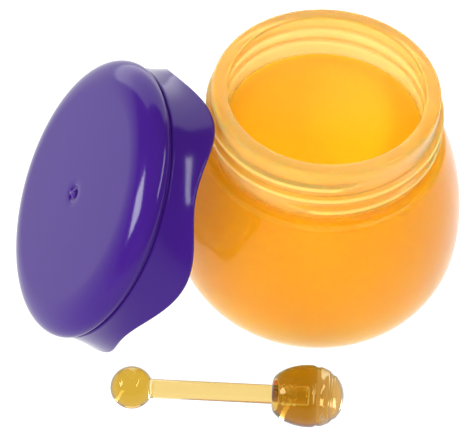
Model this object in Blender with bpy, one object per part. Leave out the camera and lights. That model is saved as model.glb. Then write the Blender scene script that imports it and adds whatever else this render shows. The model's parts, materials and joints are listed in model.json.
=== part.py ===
"""Honey-pot cosmetic jar with its lid taken off and leaning on it, and its dipper lying in front."""
import math

import bmesh
import bpy

# Sizes in metres, angles in degrees. The jar stands on z = 0 with its axis on z.

# Pot: a round belly drawn by two superellipse quarters that meet at its widest level
belly_radius = 0.034
belly_height = 0.017
belly_drop = 0.0239
belly_drop_power = 2.6
belly_rise_power = 1.857
foot_round_height = 0.0026
foot_round_reach = 0.0022
pot_wall = 0.0026
pot_floor = 0.0030
inner_shoulder_drop = 0.0016
inner_shoulder_power = 2.6

# Neck and its screw thread
shoulder_height = 0.0436
shoulder_round = 0.0006
shoulder_ledge = 0.0022443
neck_height = 0.0156
neck_wall = 0.00384
rim_outer_round = 0.0009
rim_inner_round = 0.0006
thread_pitch = 0.00374
thread_height = 0.00117
thread_base_width = 0.0021
thread_crest_width = 0.0007
thread_turns = 2.13
thread_first_below_rim = 0.01175
thread_start_angle = -113.0
thread_fade_angle = 22.0

# Pack inside the jar
gel_below_rim = 0.01224

# Lid, a shell over a threaded insert and a sealing liner
lid_radius = 0.0324
lid_top_round = 0.0051
lid_wall = 0.0014
lid_top_wall = 0.0015
groove_depth_from_top = 0.0074
groove_width = 0.0007
groove_side_slope = 0.0002
groove_cut = 0.00045
cove_radius_loss = 0.0005
drip_count = 6
drip_mean_depth = 0.0157
drip_swing = 0.0022
drip_phase = -10.3
drip_unevenness = 6.5
drip_uneven_from = 63.0
skirt_flare = 0.19
gate_pit_radius = 0.0019
gate_pit_floor_radius = 0.0014
gate_pit_depth = 0.0004
gate_nub_radius = 0.0008
gate_nub_height = 0.0006
insert_shell_gap = 0.00188
insert_wall = 0.0013
insert_top_wall = 0.0012
insert_depth_from_top = 0.0126
insert_flange_thickness = 0.0012
insert_edge_round = 0.0004
thread_radial_clearance = 0.0004
insert_thread_entry = 0.00071
insert_thread_to_liner = 0.000415
liner_thickness = 0.0010
seat_clearance = 0.0003

# Where the lid leans
lid_lean = 59.3
lid_turn = 11.8
lid_side_step = -0.01476
floor_clearance = 0.0001

# Dipper: a ball-ended stem pushed into a grooved head
ball_radius = 0.0049
stem_radius = 0.0022
stem_length = 0.0279
head_length = 0.0163
head_radius = 0.00712
head_widest_from_mouth = 0.0081
head_mouth_radius = 0.0033
head_mouth_power = 2.0
head_nose_power = 2.2
head_groove_spacing = 0.0036
head_groove_count = 2
head_groove_depth = 0.0005
head_groove_half_width = 0.0006
first_groove_from_widest = 0.0021
socket_mouth_clearance = 0.0005
socket_mouth_depth = 0.0022
tenon_radius = 0.00145
tenon_length = 0.0062
tenon_rib_height = 0.00022
tenon_rib_half_width = 0.00034
tenon_rib_count = 3
tenon_rib_spacing = 0.00105
tenon_first_rib = 0.0017
tenon_tip_chamfer = 0.0004
tenon_clearance = 0.0003
dipper_ball_x = -0.0414
dipper_ball_y = -0.0451
dipper_heading = -2.9

# Facets
jar_segments = 56
lid_segments = 60
insert_segments = 48
dipper_segments = 24
ball_steps = 12
corner_steps = 4
gate_nub_steps = 3
large_round_steps = 7
belly_row_gather = 1.15
thread_step_angle = 12.0
sharp_angle = 38.0
union_overlap = 0.0004
merge_distance = 1e-7
bisection_steps = 40

# Sizes that follow from the ones above. The neck fits inside the lid: from the shell's wall inwards come
# the insert, its thread clearance and the neck's thread, and the belly rises to a ledge round the neck.
insert_outer_radius = lid_radius - cove_radius_loss - lid_wall - insert_shell_gap
insert_bore_radius = insert_outer_radius - insert_wall
thread_crest_radius = insert_bore_radius - thread_radial_clearance
neck_radius = thread_crest_radius - thread_height
bore_radius = neck_radius - neck_wall
shoulder_share = (neck_radius + shoulder_ledge) / belly_radius
belly_rise_share = (1 - shoulder_share ** belly_rise_power) ** (1 / belly_rise_power)
belly_rise = (shoulder_height - belly_height) / belly_rise_share
rim_height = shoulder_height + neck_height
gel_level = rim_height - gel_below_rim
thread_top_height = rim_height - thread_first_below_rim + thread_turns * thread_pitch
groove_lower_edge = groove_depth_from_top + groove_width
insert_top_depth = lid_top_wall + seat_clearance
insert_inner_depth = insert_top_depth + insert_top_wall
liner_top_depth = insert_inner_depth + seat_clearance
rim_seat_depth = liner_top_depth + liner_thickness
insert_thread_depth = insert_depth_from_top - insert_edge_round - thread_base_width / 2 - insert_thread_entry
insert_thread_rise = insert_thread_depth - thread_base_width / 2 - rim_seat_depth - insert_thread_to_liner
insert_thread_turns = insert_thread_rise / thread_pitch


def clear_scene():
    for item in list(bpy.data.objects):
        bpy.data.objects.remove(item, do_unlink=True)


def arc(centre_radius, centre_height, radius, start, end, steps):
    """Points of an arc in the (radius, height) plane, angles from the radial direction."""
    points = []
    for step in range(steps + 1):
        angle = math.radians(start + (end - start) * step / steps)
        points.append((centre_radius + radius * math.cos(angle), centre_height + radius * math.sin(angle)))
    return points


def soft_corner(first, corner, last, steps):
    """A corner between two directions rounded by a quadratic curve."""
    points = []
    for step in range(steps + 1):
        t = step / steps
        weights = ((1 - t) ** 2, 2 * t * (1 - t), t * t)
        points.append(tuple(sum(w * p[k] for w, p in zip(weights, (first, corner, last))) for k in range(2)))
    return points


def turned(name, chain, segments):
    """A closed solid of revolution about z from a chain that starts and ends on the axis."""
    work = bmesh.new()
    verts = [work.verts.new((radius, 0, height)) for radius, height in chain]
    edges = [work.edges.new(pair) for pair in zip(verts, verts[1:])]
    bmesh.ops.spin(work, geom=verts + edges, axis=(0, 0, 1), cent=(0, 0, 0),
                   angle=math.tau, steps=segments, use_merge=True)
    return finish_mesh(name, work)


def finish_mesh(name, work):
    bmesh.ops.remove_doubles(work, verts=work.verts, dist=merge_distance)
    bmesh.ops.dissolve_degenerate(work, edges=work.edges, dist=merge_distance)
    bmesh.ops.recalc_face_normals(work, faces=work.faces)
    mesh = bpy.data.meshes.new(name)
    work.to_mesh(mesh)
    work.free()
    shade(mesh)
    item = bpy.data.objects.new(name, mesh)
    bpy.context.scene.collection.objects.link(item)
    return item


def shade(mesh):
    mesh.shade_smooth()
    mesh.set_sharp_from_angle(angle=math.radians(sharp_angle))


def join_into(body, helper):
    """Unites a helper solid with a piece and takes the result into the piece's own mesh."""
    union = body.modifiers.new(helper.name, 'BOOLEAN')
    union.operation = 'UNION'
    union.solver = 'EXACT'
    union.object = helper
    evaluated = body.evaluated_get(bpy.context.evaluated_depsgraph_get())
    united = bpy.data.meshes.new_from_object(evaluated)
    body.modifiers.clear()
    body.data = united
    united.name = body.name
    shade(united)
    bpy.data.objects.remove(helper, do_unlink=True)


def material(name, colour, roughness, transmission=0.0, coat=0.0):
    surface = bpy.data.materials.new(name)
    surface.use_nodes = True
    shader = surface.node_tree.nodes['Principled BSDF']
    shader.inputs['Base Color'].default_value = (*colour, 1.0)
    shader.inputs['Roughness'].default_value = roughness
    shader.inputs['Metallic'].default_value = 0.0
    shader.inputs['Transmission Weight'].default_value = transmission
    shader.inputs['Coat Weight'].default_value = coat
    surface.diffuse_color = (*colour, 1.0)
    return surface


def superellipse(share, power):
    """How much of the full radius is left at this share of the way to the pole."""
    return max(0.0, 1 - min(1.0, share) ** power) ** (1 / power)


def wall_slope(height):
    """How fast the belly's radius grows with height."""
    step = merge_distance * 100
    return (pot_radius(height + step) - pot_radius(height)) / step


def pot_radius(height):
    """Outer radius of the belly at a height."""
    if height < belly_height:
        return belly_radius * superellipse((belly_height - height) / belly_drop, belly_drop_power)
    return belly_radius * superellipse((height - belly_height) / belly_rise, belly_rise_power)


def cavity_chain(inset):
    """The hollow's wall from the neck bore down to the axis, drawn in by an inset."""
    widest = belly_radius - pot_wall
    blend_height = shoulder_height - inner_shoulder_drop
    share = (1 - (bore_radius / widest) ** inner_shoulder_power) ** (1 / inner_shoulder_power)
    rise = (blend_height - belly_height) / share
    drop = belly_drop - pot_wall
    upper_steps = 6
    lower_steps = 5
    points = []
    for step in range(upper_steps):
        height = blend_height - (blend_height - belly_height) * (step / upper_steps)
        radius = widest * superellipse((height - belly_height) / rise, inner_shoulder_power)
        points.append((radius - inset, height))
    lowest = pot_floor + inset
    for step in range(lower_steps + 1):
        height = belly_height - (belly_height - lowest) * math.sin(math.pi / 2 * step / lower_steps)
        radius = widest * superellipse((belly_height - height) / drop, belly_drop_power)
        points.append((radius - inset, height))
    floor_radius = points[-1][0]
    points.pop()
    points.append((floor_radius - foot_round_reach, lowest))
    points.append((0.0, lowest))
    return points


def outer_wall_chain():
    """The pot's outside from the centre of its base up to the rim."""
    foot_start = pot_radius(foot_round_height)
    foot_corner = foot_start - wall_slope(foot_round_height) * foot_round_height
    chain = [(0.0, 0.0)]
    chain += soft_corner((foot_corner - foot_round_reach, 0.0), (foot_corner, 0.0),
                         (foot_start, foot_round_height), corner_steps)
    lower_steps = 4
    for step in range(1, lower_steps + 1):
        height = foot_round_height + (belly_height - foot_round_height) * step / lower_steps
        chain.append((pot_radius(height), height))
    upper_steps = 9
    top = shoulder_height - shoulder_round
    for step in range(1, upper_steps + 1):
        height = belly_height + (top - belly_height) * (1 - (1 - step / upper_steps) ** belly_row_gather)
        chain.append((pot_radius(height), height))
    edge = pot_radius(top)
    shoulder_corner = edge + wall_slope(top) * shoulder_round
    chain += soft_corner((edge, top), (shoulder_corner, shoulder_height),
                         (shoulder_corner - shoulder_round, shoulder_height), corner_steps)[1:]
    chain += soft_corner((neck_radius + shoulder_round, shoulder_height), (neck_radius, shoulder_height),
                         (neck_radius, shoulder_height + shoulder_round), corner_steps // 2)
    chain += arc(neck_radius - rim_outer_round, rim_height - rim_outer_round, rim_outer_round,
                 0, 90, corner_steps)
    chain += arc(bore_radius + rim_inner_round, rim_height - rim_inner_round, rim_inner_round,
                 90, 180, corner_steps)
    return chain


def helical_ridge(name, root_radius, crest_radius, start_height, start_angle, turns):
    """A screw-thread ridge on a cylinder, fading into the wall at both ends."""
    outward = 1 if crest_radius > root_radius else -1
    buried = root_radius - outward * union_overlap
    faded_out = root_radius - outward * union_overlap / 2
    total = 360 * turns
    steps = math.ceil(total / thread_step_angle)
    work = bmesh.new()
    rings = []
    for step in range(steps + 1):
        turned_by = total * step / steps
        fade = min(1.0, turned_by / thread_fade_angle, (total - turned_by) / thread_fade_angle)
        crest = faded_out + (crest_radius - faded_out) * fade
        angle = math.radians(start_angle + turned_by)
        height = start_height + thread_pitch * turned_by / 360
        ring = []
        for radius, offset in ((buried, -thread_base_width / 2), (crest, -thread_crest_width / 2),
                               (crest, thread_crest_width / 2), (buried, thread_base_width / 2)):
            ring.append(work.verts.new((radius * math.cos(angle), radius * math.sin(angle), height + offset)))
        rings.append(ring)
    for near, far in zip(rings, rings[1:]):
        for k in range(4):
            work.faces.new((near[k], near[(k + 1) % 4], far[(k + 1) % 4], far[k]))
    work.faces.new(rings[0])
    work.faces.new(rings[-1])
    return finish_mesh(name, work)


def jar_body():
    chain = outer_wall_chain() + cavity_chain(0.0)
    body = turned('jar_body', chain, jar_segments)
    thread = helical_ridge('neck_thread', neck_radius, thread_crest_radius,
                           rim_height - thread_first_below_rim, thread_start_angle, thread_turns)
    join_into(body, thread)
    return body


def gel_fill():
    """The pack: it fills the hollow up to its level in the neck."""
    bore = bore_radius - seat_clearance
    wall = [point for point in cavity_chain(seat_clearance) if point[1] < gel_level]
    return turned('gel_fill', [(0.0, gel_level), (bore, gel_level)] + wall, insert_segments)


def drip_depth(angle):
    """How far below the top face the skirt's edge hangs at an angle round the lid."""
    turn = angle - math.radians(drip_phase)
    wander = math.radians(drip_unevenness) * math.sin(turn + math.radians(drip_uneven_from))
    return drip_mean_depth + drip_swing * math.cos(drip_count * (turn - wander))


def skirt_radius(depth):
    """Outer radius of the skirt at a depth: a short cove under the groove, then a flare."""
    return lid_radius - cove_radius_loss + skirt_flare * (depth - groove_lower_edge)


def shell_profile(angle):
    """The lid shell's section at one angle, from the top's centre out and back to the axis."""
    edge = drip_depth(angle)
    lip = lid_wall / 2
    chain = [(0.0, gate_nub_height - gate_pit_depth)]
    for step in range(1, gate_nub_steps + 1):
        dome = math.pi / 2 * step / gate_nub_steps
        chain.append((gate_nub_radius * math.sin(dome), gate_nub_height * math.cos(dome) - gate_pit_depth))
    chain += [(gate_pit_floor_radius, -gate_pit_depth), (gate_pit_radius, 0.0)]
    chain += arc(lid_radius - lid_top_round, -lid_top_round, lid_top_round, 90, 0, large_round_steps)
    chain.append((lid_radius, -groove_depth_from_top))
    groove_floor = lid_radius - cove_radius_loss - groove_cut
    chain.append((groove_floor, -groove_depth_from_top - groove_side_slope))
    chain.append((groove_floor, -groove_lower_edge + groove_side_slope))
    flare_steps = 4
    skirt_end = edge - lip
    for step in range(flare_steps + 1):
        depth = groove_lower_edge + (skirt_end - groove_lower_edge) * step / flare_steps
        chain.append((skirt_radius(depth), -depth))
    lip_centre = skirt_radius(skirt_end) - lip
    chain += arc(lip_centre, -skirt_end, lip, 0, -180, corner_steps)[1:]
    inner_steps = 3
    for step in range(1, inner_steps + 1):
        depth = skirt_end + (groove_lower_edge - skirt_end) * step / inner_steps
        chain.append((skirt_radius(depth) - lid_wall, -depth))
    inner = lid_radius - cove_radius_loss - lid_wall
    corner = lid_top_round - lid_wall
    chain += arc(inner - corner, -lid_top_wall - corner, corner, 0, 90, corner_steps)
    chain.append((0.0, -lid_top_wall))
    return chain


def lid_shell():
    """The outer shell, lofted from one section per step round the lid."""
    work = bmesh.new()
    sections = []
    for step in range(lid_segments):
        angle = math.tau * step / lid_segments
        sections.append([work.verts.new((radius * math.cos(angle), radius * math.sin(angle), height))
                         for radius, height in shell_profile(angle)])
    for near, far in zip(sections, sections[1:] + sections[:1]):
        for k in range(len(near) - 1):
            work.faces.new((near[k], near[k + 1], far[k + 1], far[k]))
    return finish_mesh('lid_shell', work)


def lid_insert():
    """The threaded cup inside the shell, with the flange that closes the gap to the shell."""
    flange_top = insert_depth_from_top - insert_flange_thickness
    flange_radius = skirt_radius(flange_top) - lid_wall - seat_clearance
    chain = [(0.0, -insert_top_depth), (insert_outer_radius - insert_wall, -insert_top_depth)]
    chain += [(insert_outer_radius, -insert_top_depth - insert_wall), (insert_outer_radius, -flange_top)]
    chain += [(flange_radius, -flange_top), (flange_radius, -insert_depth_from_top)]
    chain += [(insert_bore_radius + insert_edge_round, -insert_depth_from_top)]
    chain += [(insert_bore_radius, -insert_depth_from_top + insert_edge_round)]
    chain += [(insert_bore_radius, -insert_inner_depth), (0.0, -insert_inner_depth)]
    insert = turned('lid_insert', chain, insert_segments)
    neck_groove_depth = rim_seat_depth + thread_first_below_rim - thread_pitch / 2
    start_angle = thread_start_angle + 360 * (neck_groove_depth - insert_thread_depth) / thread_pitch
    thread = helical_ridge('insert_thread', insert_bore_radius, neck_radius + thread_radial_clearance,
                           -insert_thread_depth, start_angle, insert_thread_turns)
    join_into(insert, thread)
    return insert


def lid_liner():
    radius = insert_bore_radius - seat_clearance
    chain = [(0.0, -liner_top_depth), (radius, -liner_top_depth), (radius, -rim_seat_depth), (0.0, -rim_seat_depth)]
    return turned('lid_liner', chain, insert_segments)


def jar_outline_radius(height):
    """The radius that the leaning lid has to clear at a height."""
    if height > rim_height:
        return 0.0
    if height > thread_top_height:
        over = max(0.0, height - (rim_height - rim_outer_round))
        return neck_radius - rim_outer_round + math.sqrt(rim_outer_round ** 2 - over ** 2)
    if height > shoulder_height:
        return thread_crest_radius
    return pot_radius(max(height, 0.0))


def lid_rim_points(lean, turn):
    """The lid shell's points about its top's centre, turned to how it leans."""
    points = []
    for step in range(2 * lid_segments):
        angle = math.tau * step / (2 * lid_segments)
        for radius, height in shell_profile(angle):
            x, y, z = radius * math.cos(angle), radius * math.sin(angle), height
            x, z = x * math.cos(lean) + z * math.sin(lean), -x * math.sin(lean) + z * math.cos(lean)
            points.append((x * math.cos(turn) - y * math.sin(turn), x * math.sin(turn) + y * math.cos(turn), z))
    return points


def leaning_place(lean, turn):
    """Where the lid's top centre is when the lid stands on the floor and leans on the jar."""
    points = lid_rim_points(lean, turn)
    height = floor_clearance - min(z for _, _, z in points)

    def gap(x_place):
        return min(math.hypot(x + x_place, y + lid_side_step) - jar_outline_radius(z + height)
                   for x, y, z in points)

    far = -(belly_radius + 2 * lid_radius)
    near = 0.0
    for _ in range(bisection_steps):
        middle = (far + near) / 2
        if gap(middle) > seat_clearance:
            far = middle
        else:
            near = middle
    return far, lid_side_step, height


def lid():
    """The lid's three pieces on an empty at the centre of its top, whose z is the lid's axis."""
    lean = math.radians(-lid_lean)
    turn = math.radians(lid_turn)
    place = bpy.data.objects.new('lid_axis', None)
    bpy.context.scene.collection.objects.link(place)
    place.rotation_euler = (0.0, lean, turn)
    place.location = leaning_place(lean, turn)
    pieces = [lid_shell(), lid_insert(), lid_liner()]
    for piece in pieces:
        piece.parent = place
    return pieces


def head_radius_at(distance):
    """Radius of the dipper's head at a distance from its mouth, before its grooves."""
    if distance < head_widest_from_mouth:
        share = (head_widest_from_mouth - distance) / head_widest_from_mouth
        return head_mouth_radius + (head_radius - head_mouth_radius) * superellipse(share, head_mouth_power)
    share = (distance - head_widest_from_mouth) / (head_length - head_widest_from_mouth)
    return head_radius * superellipse(share, head_nose_power)


def dipper_head():
    """The egg-shaped head with its grooves, and the socket for the stem."""
    socket_mouth_radius = stem_radius + socket_mouth_clearance
    socket_radius = tenon_radius + tenon_rib_height + tenon_clearance
    socket_end = socket_mouth_depth + tenon_length + tenon_clearance
    chain = [(0.0, socket_end), (socket_radius, socket_end), (socket_radius, socket_mouth_depth)]
    chain += [(socket_mouth_radius, socket_mouth_depth), (socket_mouth_radius, 0.0)]
    grooves = [head_widest_from_mouth + first_groove_from_widest + k * head_groove_spacing
               for k in range(head_groove_count)]
    mouth_steps = 6
    nose_steps = 14
    distances = [head_widest_from_mouth * (1 - math.cos(math.pi / 2 * k / mouth_steps))
                 for k in range(mouth_steps + 1)]
    beyond = head_length - head_widest_from_mouth
    distances += [head_widest_from_mouth + beyond * math.sin(math.pi / 2 * k / nose_steps)
                  for k in range(1, nose_steps)]
    distances = [d for d in distances if all(abs(d - g) > head_groove_half_width for g in grooves)]
    for groove in grooves:
        distances += [groove - head_groove_half_width, groove, groove + head_groove_half_width]
    for distance in sorted(distances):
        cut = head_groove_depth if distance in grooves else 0.0
        chain.append((head_radius_at(distance) - cut, distance))
    chain.append((0.0, head_length))
    return turned('dipper_head', chain, dipper_segments)


def dipper_handle():
    """The ball, the stem and the ribbed tenon that holds the head."""
    neck_angle = math.degrees(math.asin(stem_radius / ball_radius))
    chain = [(radius, height) for radius, height in arc(0.0, 0.0, ball_radius, -90, 90 - neck_angle, ball_steps)]
    chain[0] = (0.0, -ball_radius)
    stem_end = head_mouth_place() + socket_mouth_depth - tenon_clearance
    chain += [(stem_radius, stem_end), (tenon_radius, stem_end)]
    for k in range(tenon_rib_count):
        middle = stem_end + tenon_first_rib + k * tenon_rib_spacing
        chain += [(tenon_radius, middle - tenon_rib_half_width), (tenon_radius + tenon_rib_height, middle),
                  (tenon_radius, middle + tenon_rib_half_width)]
    tip = stem_end + tenon_length
    chain += [(tenon_radius, tip - tenon_tip_chamfer), (tenon_radius - tenon_tip_chamfer, tip), (0.0, tip)]
    return turned('dipper_handle', chain, dipper_segments)


def head_mouth_place():
    """Distance of the head's mouth from the ball's centre."""
    return math.sqrt(ball_radius ** 2 - stem_radius ** 2) + stem_length


def dipper():
    """Handle and head on one line that rests on the ball and on the head's widest ring."""
    axis = bpy.data.objects.new('dipper_axis', None)
    bpy.context.scene.collection.objects.link(axis)
    widest = head_mouth_place() + head_widest_from_mouth
    rise = math.asin((head_radius - ball_radius) / widest)
    axis.location = (dipper_ball_x, dipper_ball_y, ball_radius + floor_clearance)
    axis.rotation_euler = (0.0, math.pi / 2 - rise, math.radians(dipper_heading))
    handle = dipper_handle()
    head = dipper_head()
    handle.parent = axis
    head.parent = axis
    head.location = (0.0, 0.0, head_mouth_place())
    return handle, head


def build():
    clear_scene()
    jar_plastic = material('translucent_orange_pot', (0.98, 0.47, 0.10), 0.12, transmission=0.6)
    gel = material('orange_gel', (0.98, 0.42, 0.01), 0.2, transmission=0.3)
    purple = material('gloss_violet_moulding', (0.07, 0.015, 0.26), 0.15, coat=0.3)
    inner_white = material('white_inner_cap', (0.80, 0.79, 0.76), 0.4)
    foam = material('foamed_liner', (0.86, 0.86, 0.84), 0.7)
    amber = material('amber_acrylic', (0.86, 0.52, 0.10), 0.05, transmission=0.9)
    jar_body().data.materials.append(jar_plastic)
    gel_fill().data.materials.append(gel)
    for piece, surface in zip(lid(), (purple, inner_white, foam)):
        piece.data.materials.append(surface)
    for piece in dipper():
        piece.data.materials.append(amber)


build()
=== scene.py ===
import json
import math

import bmesh
import bpy
import numpy as np
from mathutils import Matrix, Vector


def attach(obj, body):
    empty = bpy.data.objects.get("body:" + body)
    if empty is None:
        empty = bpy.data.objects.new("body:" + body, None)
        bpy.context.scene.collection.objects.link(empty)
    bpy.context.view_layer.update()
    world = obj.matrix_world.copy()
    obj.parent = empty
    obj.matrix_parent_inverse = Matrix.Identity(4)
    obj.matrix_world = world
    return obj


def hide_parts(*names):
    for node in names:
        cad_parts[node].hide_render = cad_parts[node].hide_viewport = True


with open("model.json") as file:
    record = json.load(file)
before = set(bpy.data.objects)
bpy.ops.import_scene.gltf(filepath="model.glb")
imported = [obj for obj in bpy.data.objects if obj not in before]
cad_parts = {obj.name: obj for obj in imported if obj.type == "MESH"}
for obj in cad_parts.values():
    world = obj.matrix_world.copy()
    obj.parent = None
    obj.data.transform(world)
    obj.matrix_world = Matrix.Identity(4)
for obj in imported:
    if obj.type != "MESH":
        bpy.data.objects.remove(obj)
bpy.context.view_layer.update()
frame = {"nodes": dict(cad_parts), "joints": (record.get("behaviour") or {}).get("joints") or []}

mm = 0.001


# Colours and nodes

def hexColour(code):  # an sRGB hex colour as the linear one that the sockets take
    srgb = [int(code[k:k + 2], 16) / 255 for k in (1, 3, 5)]
    return (*(c / 12.92 if c <= 0.04045 else ((c + 0.055) / 1.055) ** 2.4 for c in srgb), 1.0)


# A socket is given a constant, an output, or a node, which stands for its first output.
# On a colour Mix, socket 0 is the share, 6 and 7 are the colours, and output 2 is the result.
def addNode(tree, kind, settings=None, sockets=None):
    node = tree.nodes.new(kind)
    for name, value in (settings or {}).items():
        setattr(node, name, value)
    for name, value in (sockets or {}).items():
        if isinstance(value, bpy.types.Node):
            value = value.outputs[0]
        if isinstance(value, bpy.types.NodeSocket):
            tree.links.new(value, node.inputs[name])
        else:
            node.inputs[name].default_value = value
    return node


def newMaterial(name):
    material = bpy.data.materials.new(name)
    material.use_nodes = True
    material.node_tree.nodes.clear()
    return material, material.node_tree


# Meshes

def arcPoints(centreRadius, centreHeight, radius, start, end, steps):
    angles = [math.radians(start + (end - start) * k / steps) for k in range(steps + 1)]
    return [(centreRadius + radius * math.cos(a), centreHeight + radius * math.sin(a)) for a in angles]


def softCorner(first, corner, last, steps):  # a curve from first to last, pulled towards the corner
    points = []
    for k in range(steps + 1):
        t = k / steps
        points.append(tuple((1 - t) ** 2 * a + 2 * t * (1 - t) * b + t * t * c
                            for a, b, c in zip(first, corner, last)))
    return points


def powerRound(share, power):  # falls from 1 to 0 as share goes from 0 to 1, squarer with a higher power
    return max(0.0, 1 - min(1.0, share) ** power) ** (1 / power)


def turnProfile(name, profile, segments, marks=None):  # its (radius, height) points run from axis to axis
    onAxis = 1e-9  # a smaller radius is one point on the axis
    angles = np.arange(segments) * math.tau / segments
    verts, rings = [], []
    for radius, height in profile:
        first = len(verts)
        if radius < onAxis:
            verts.append((0.0, 0.0, height))
            rings.append([first] * segments)
        else:
            verts += [(radius * math.cos(a), radius * math.sin(a), height) for a in angles]
            rings.append(list(range(first, first + segments)))
    faces = []
    for low, high in zip(rings, rings[1:]):
        for s in range(segments):
            after = (s + 1) % segments
            faces.append(list(dict.fromkeys((low[s], low[after], high[after], high[s]))))
    mesh = bpy.data.meshes.new(name)
    mesh.from_pydata(verts, [], faces)
    for label, values in (marks or {}).items():  # one value for each profile point, kept on its whole ring
        flat = [0.0] * len(verts)
        for ring, value in zip(rings, values):
            for v in set(ring):
                flat[v] = value
        mesh.attributes.new(label, "FLOAT", "POINT").data.foreach_set("value", flat)
    work = bmesh.new()
    work.from_mesh(mesh)
    bmesh.ops.recalc_face_normals(work, faces=work.faces)
    work.to_mesh(mesh)
    work.free()
    piece = bpy.data.objects.new(name, mesh)
    bpy.context.scene.collection.objects.link(piece)
    return piece


def shadeSmooth(piece, angle):
    piece.data.shade_smooth()
    piece.data.set_sharp_from_angle(angle=math.radians(angle))


def applyTree(piece, tree, values):  # runs a Geometry Nodes tree and keeps its plain mesh
    modifier = piece.modifiers.new(tree.name, "NODES")
    modifier.node_group = tree
    for item in tree.interface.items_tree:
        if item.item_type == "SOCKET" and item.in_out == "INPUT" and item.name in values:
            modifier[item.identifier] = values[item.name]
    graph = bpy.context.evaluated_depsgraph_get()
    mesh = bpy.data.meshes.new_from_object(piece.evaluated_get(graph))
    piece.modifiers.clear()
    piece.data = mesh
    mesh.name = piece.name


def finishPiece(piece, body, node, place=None):
    if place is not None:
        piece.data.transform(place)
    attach(piece, body)
    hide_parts(node)


# Geometry Nodes for the screw thread and the dripping skirt

def newTree(name, numbers):  # its inputs are the geometry, the named numbers and a material
    tree = bpy.data.node_groups.new(name, "GeometryNodeTree")
    tree.interface.new_socket("Geometry", in_out="INPUT", socket_type="NodeSocketGeometry")
    for label in numbers:
        tree.interface.new_socket(label, in_out="INPUT", socket_type="NodeSocketFloat")
    tree.interface.new_socket("Material", in_out="INPUT", socket_type="NodeSocketMaterial")
    tree.interface.new_socket("Geometry", in_out="OUTPUT", socket_type="NodeSocketGeometry")
    return tree, addNode(tree, "NodeGroupInput").outputs


def endTree(tree, geometry, material):
    real = addNode(tree, "GeometryNodeRealizeInstances", None, {"Geometry": geometry})
    painted = addNode(tree, "GeometryNodeSetMaterial", None, {"Geometry": real, "Material": material})
    addNode(tree, "NodeGroupOutput", None, {"Geometry": painted})


def ridgeTree():  # lifts a helical ridge off every ring marked threadWall
    tree, given = newTree("helicalRidge", ("Ridge height", "Pitch", "First height", "Start angle", "Turns",
                                           "Base width", "Crest width", "Fade angle"))
    place = addNode(tree, "GeometryNodeInputPosition")
    xyz = addNode(tree, "ShaderNodeSeparateXYZ", None, {0: place}).outputs
    angle = addNode(tree, "ShaderNodeMath", {"operation": "ARCTAN2"}, {0: xyz["Y"], 1: xyz["X"]})
    turned = addNode(tree, "ShaderNodeMath", {"operation": "SUBTRACT"}, {0: angle, 1: given["Start angle"]})
    within = addNode(tree, "ShaderNodeMath", {"operation": "FLOORED_MODULO"}, {0: turned, 1: math.tau})
    share = addNode(tree, "ShaderNodeMath", {"operation": "DIVIDE"}, {0: within, 1: math.tau})  # of a turn
    above = addNode(tree, "ShaderNodeMath", {"operation": "SUBTRACT"}, {
        0: xyz["Z"], 1: given["First height"]})
    laps = addNode(tree, "ShaderNodeMath", {"operation": "DIVIDE"}, {0: above, 1: given["Pitch"]})
    level = addNode(tree, "ShaderNodeMath", {"operation": "SUBTRACT"}, {0: laps, 1: share})
    lap = addNode(tree, "ShaderNodeMath", {"operation": "ROUND"}, {0: level})  # the nearest turn
    off = addNode(tree, "ShaderNodeMath", {"operation": "SUBTRACT"}, {0: level, 1: lap})
    away = addNode(tree, "ShaderNodeMath", {"operation": "MULTIPLY"}, {0: off, 1: given["Pitch"]})
    distance = addNode(tree, "ShaderNodeMath", {"operation": "ABSOLUTE"}, {0: away})  # from its middle
    crestHalf = addNode(tree, "ShaderNodeMath", {"operation": "MULTIPLY"}, {0: given["Crest width"], 1: 0.5})
    baseHalf = addNode(tree, "ShaderNodeMath", {"operation": "MULTIPLY"}, {0: given["Base width"], 1: 0.5})
    ridge = addNode(tree, "ShaderNodeMapRange", {"interpolation_type": "SMOOTHSTEP"}, {
        "Value": distance, "From Min": crestHalf, "From Max": baseHalf, "To Min": 1.0, "To Max": 0.0})
    runSoFar = addNode(tree, "ShaderNodeMath", {"operation": "ADD"}, {0: share, 1: lap})  # turns so far
    runLeft = addNode(tree, "ShaderNodeMath", {"operation": "SUBTRACT"}, {0: given["Turns"], 1: runSoFar})
    fadeShare = addNode(tree, "ShaderNodeMath", {"operation": "DIVIDE"}, {
        0: given["Fade angle"], 1: math.tau})
    fadeIn, fadeOut = (addNode(tree, "ShaderNodeMapRange", {"interpolation_type": "SMOOTHSTEP"}, {
        "Value": run, "From Min": 0.0, "From Max": fadeShare}) for run in (runSoFar, runLeft))
    fades = addNode(tree, "ShaderNodeMath", {"operation": "MULTIPLY"}, {0: fadeIn, 1: fadeOut})
    shape = addNode(tree, "ShaderNodeMath", {"operation": "MULTIPLY"}, {0: ridge, 1: fades})
    marked = addNode(tree, "GeometryNodeInputNamedAttribute", {"data_type": "FLOAT"}, {"Name": "threadWall"})
    here = addNode(tree, "ShaderNodeMath", {"operation": "MULTIPLY"}, {0: shape, 1: marked})
    lift = addNode(tree, "ShaderNodeMath", {"operation": "MULTIPLY"}, {0: here, 1: given["Ridge height"]})
    flat = addNode(tree, "ShaderNodeCombineXYZ", None, {"X": xyz["X"], "Y": xyz["Y"], "Z": 0.0})
    outward = addNode(tree, "ShaderNodeVectorMath", {"operation": "NORMALIZE"}, {0: flat})
    offset = addNode(tree, "ShaderNodeVectorMath", {"operation": "SCALE"}, {0: outward, "Scale": lift})
    noted = addNode(tree, "GeometryNodeStoreNamedAttribute", {"data_type": "FLOAT", "domain": "POINT"}, {
        "Geometry": given["Geometry"], "Name": "ridgeShare", "Value": here})
    moved = addNode(tree, "GeometryNodeSetPosition", None, {"Geometry": noted, "Offset": offset})
    endTree(tree, moved, given["Material"])
    return tree


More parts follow.
